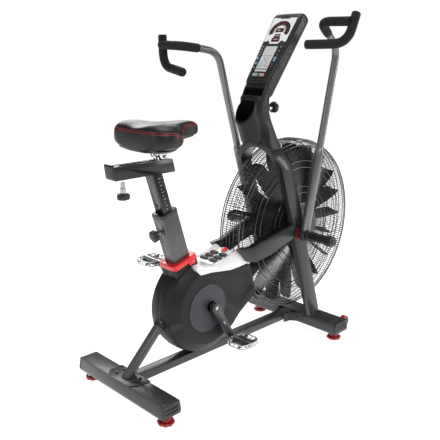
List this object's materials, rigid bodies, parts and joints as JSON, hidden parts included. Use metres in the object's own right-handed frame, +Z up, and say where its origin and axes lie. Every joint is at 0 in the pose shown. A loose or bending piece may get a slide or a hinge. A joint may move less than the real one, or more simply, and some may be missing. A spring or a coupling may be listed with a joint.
{
  "type": "exercise air bike",
  "caption": "Upright exercise bike with a wire-caged air fan, swinging push-pull arms, adjustable saddle, console and levelling feet.",
  "frame": {"origin": "middle of the footprint, on the floor", "axes": "+X towards the fan, +Y to the rider's left, +Z up"},
  "size_m": [1.273, 0.6706, 1.3568],
  "materials": {
    "frame_paint": "satin",
    "tube_paint": "satin",
    "arm_paint": "satin",
    "crank_paint": "gloss",
    "post_paint": "gloss",
    "black_plastic": "satin",
    "red_plastic": "gloss",
    "shroud_plastic": "satin",
    "grey_plastic": "satin",
    "white_gloss": "gloss",
    "pad_rubber": "matte",
    "wire_chrome": "polished",
    "mast_plastic": "satin",
    "console_plastic": "satin",
    "lcd_glass": "gloss",
    "belt_rubber": "matte",
    "bolt_steel": "satin",
    "steel": "satin",
    "chrome": "polished",
    "cast_pulley": "matte",
    "pedal_alloy": "satin",
    "fan_steel": "satin",
    "foam": "matte",
    "vinyl": "satin",
    "key_plastic": "gloss"
  },
  "bodies": {
    "frame": {"rear_stabilizer": "frame_paint", "end_caps": "black_plastic", "rear_saddle_plate": "frame_paint", "rear_strut": "frame_paint", "main_rail": "frame_paint", "front_stabilizer": "frame_paint", "front_gusset": "frame_paint", "wheel_brackets": "black_plastic", "front_legs": "frame_paint", "side_stays": "frame_paint", "front_arch": "frame_paint", "axle_brackets": "frame_paint", "fan_axle": "steel", "foot_pegs": "chrome", "inner_frame": "frame_paint", "crank_bearings": "steel", "seat_tube": "tube_paint", "post_sleeve": "black_plastic", "post_collar": "red_plastic", "shroud_left": "shroud_plastic", "shroud_right": "shroud_plastic", "crank_covers": "grey_plastic", "top_cover": "white_gloss", "step_pads": "pad_rubber", "cage_sides": "wire_chrome", "cage_band": "wire_chrome", "mast": "mast_plastic", "cup_holder": "black_plastic", "console_housing": "console_plastic", "console_face": "white_gloss", "lcd_lens": "lcd_glass", "drive_belt": "belt_rubber", "frame_bolts": "bolt_steel"},
    "crank": {"crank_axle": "steel", "crank_arms": "crank_paint", "crank_pulley": "cast_pulley"},
    "pedal_left": {"pedal_left": "pedal_alloy"},
    "pedal_right": {"pedal_right": "pedal_alloy"},
    "fan": {"fan_hub": "fan_steel", "fan_blades": "fan_steel"},
    "arm_left": {"arm_left": "arm_paint", "grip_left": "foam"},
    "arm_right": {"arm_right": "arm_paint", "grip_right": "foam"},
    "seat_post": {"seat_post": "post_paint"},
    "seat_slider": {"seat_slider": "chrome", "saddle": "vinyl"},
    "post_knob": {"post_knob": "black_plastic"},
    "slider_knob": {"slider_knob": "black_plastic"},
    "mast_knob": {"mast_knob": "black_plastic"},
    "foot_rear_left": {"foot_rear_left": "red_plastic"},
    "foot_rear_right": {"foot_rear_right": "red_plastic"},
    "foot_front_left": {"foot_front_left": "red_plastic"},
    "foot_front_right": {"foot_front_right": "red_plastic"},
    "wheel_left": {"wheel_left": "red_plastic"},
    "wheel_right": {"wheel_right": "red_plastic"},
    "key_start": {"key_start": "key_plastic"},
    "key_stop": {"key_stop": "key_plastic"},
    "key_left": {"key_left": "key_plastic"},
    "key_right": {"key_right": "key_plastic"}
  },
  "joints": [
    {"name": "crank_spin", "type": "hinge", "parent": "frame", "child": "crank", "pos_m": [-0.2505, 0, 0.283], "axis": [0, 1, 0], "continuous": true},
    {"name": "fan_spin", "type": "hinge", "parent": "frame", "child": "fan", "pos_m": [0.2765, 0, 0.495], "axis": [0, 1, 0], "continuous": true},
    {"name": "pedal_left_spin", "type": "hinge", "parent": "crank", "child": "pedal_left", "pos_m": [-0.33577, 0.16, 0.42775], "axis": [0, 1, 0], "continuous": true},
    {"name": "pedal_right_spin", "type": "hinge", "parent": "crank", "child": "pedal_right", "pos_m": [-0.16523, -0.16, 0.13825], "axis": [0, 1, 0], "continuous": true},
    {"name": "arm_left_swing", "type": "hinge", "parent": "frame", "child": "arm_left", "pos_m": [0.215, 0.145, 0.4815], "axis": [0, 1, 0], "range_deg": [-4, 30]},
    {"name": "arm_right_swing", "type": "hinge", "parent": "frame", "child": "arm_right", "pos_m": [0.215, -0.145, 0.4815], "axis": [0, 1, 0], "range_deg": [-30, 4]},
    {"name": "seat_height", "type": "slide", "parent": "frame", "child": "seat_post", "axis": [-0.2957, 0, 0.9553], "range_m": [-0.1, 0.05]},
    {"name": "seat_fore_aft", "type": "slide", "parent": "seat_post", "child": "seat_slider", "axis": [1, 0, 0], "range_m": [-0.012, 0.028]},
    {"name": "post_knob_pull", "type": "slide", "parent": "frame", "child": "post_knob", "axis": [-0.9553, 0, -0.2957], "range_m": [0, 0.008], "stiffness_N_per_m": 400, "springref_m": -0.004},
    {"name": "slider_knob_turn", "type": "hinge", "parent": "seat_slider", "child": "slider_knob", "pos_m": [-0.5775, 0, 0.77], "axis": [0, 0, 1], "continuous": true},
    {"name": "mast_knob_turn", "type": "hinge", "parent": "frame", "child": "mast_knob", "pos_m": [0.0975, 0, 0.985], "axis": [0.9945, 0, 0.1045], "continuous": true},
    {"name": "foot_rear_left_turn", "type": "hinge", "parent": "frame", "child": "foot_rear_left", "pos_m": [-0.5935, 0.217, 0.01], "axis": [0, 0, 1], "continuous": true},
    {"name": "foot_rear_right_turn", "type": "hinge", "parent": "frame", "child": "foot_rear_right", "pos_m": [-0.5935, -0.217, 0.01], "axis": [0, 0, 1], "continuous": true},
    {"name": "foot_front_left_turn", "type": "hinge", "parent": "frame", "child": "foot_front_left", "pos_m": [0.3525, 0.217, 0.01], "axis": [0, 0, 1], "continuous": true},
    {"name": "foot_front_right_turn", "type": "hinge", "parent": "frame", "child": "foot_front_right", "pos_m": [0.3525, -0.217, 0.01], "axis": [0, 0, 1], "continuous": true},
    {"name": "wheel_left_spin", "type": "hinge", "parent": "frame", "child": "wheel_left", "pos_m": [0.4275, 0.213, 0.055], "axis": [0, 1, 0], "continuous": true},
    {"name": "wheel_right_spin", "type": "hinge", "parent": "frame", "child": "wheel_right", "pos_m": [0.4275, -0.213, 0.055], "axis": [0, 1, 0], "continuous": true},
    {"name": "key_start_press", "type": "slide", "parent": "frame", "child": "key_start", "axis": [0.8106, 0, -0.5857], "range_m": [0, 0.0012], "stiffness_N_per_m": 800, "springref_m": -0.0005},
    {"name": "key_stop_press", "type": "slide", "parent": "frame", "child": "key_stop", "axis": [0.8106, 0, -0.5857], "range_m": [0, 0.0012], "stiffness_N_per_m": 800, "springref_m": -0.0005},
    {"name": "key_left_press", "type": "slide", "parent": "frame", "child": "key_left", "axis": [0.8106, 0, -0.5857], "range_m": [0, 0.0012], "stiffness_N_per_m": 800, "springref_m": -0.0005},
    {"name": "key_right_press", "type": "slide", "parent": "frame", "child": "key_right", "axis": [0.8106, 0, -0.5857], "range_m": [0, 0.0012], "stiffness_N_per_m": 800, "springref_m": -0.0005}
  ],
  "couplings": [
    {"joint": "fan_spin", "follows": "crank_spin", "ratio": 7.3077},
    {"joint": "arm_right_swing", "follows": "arm_left_swing", "ratio": -1}
  ]
}
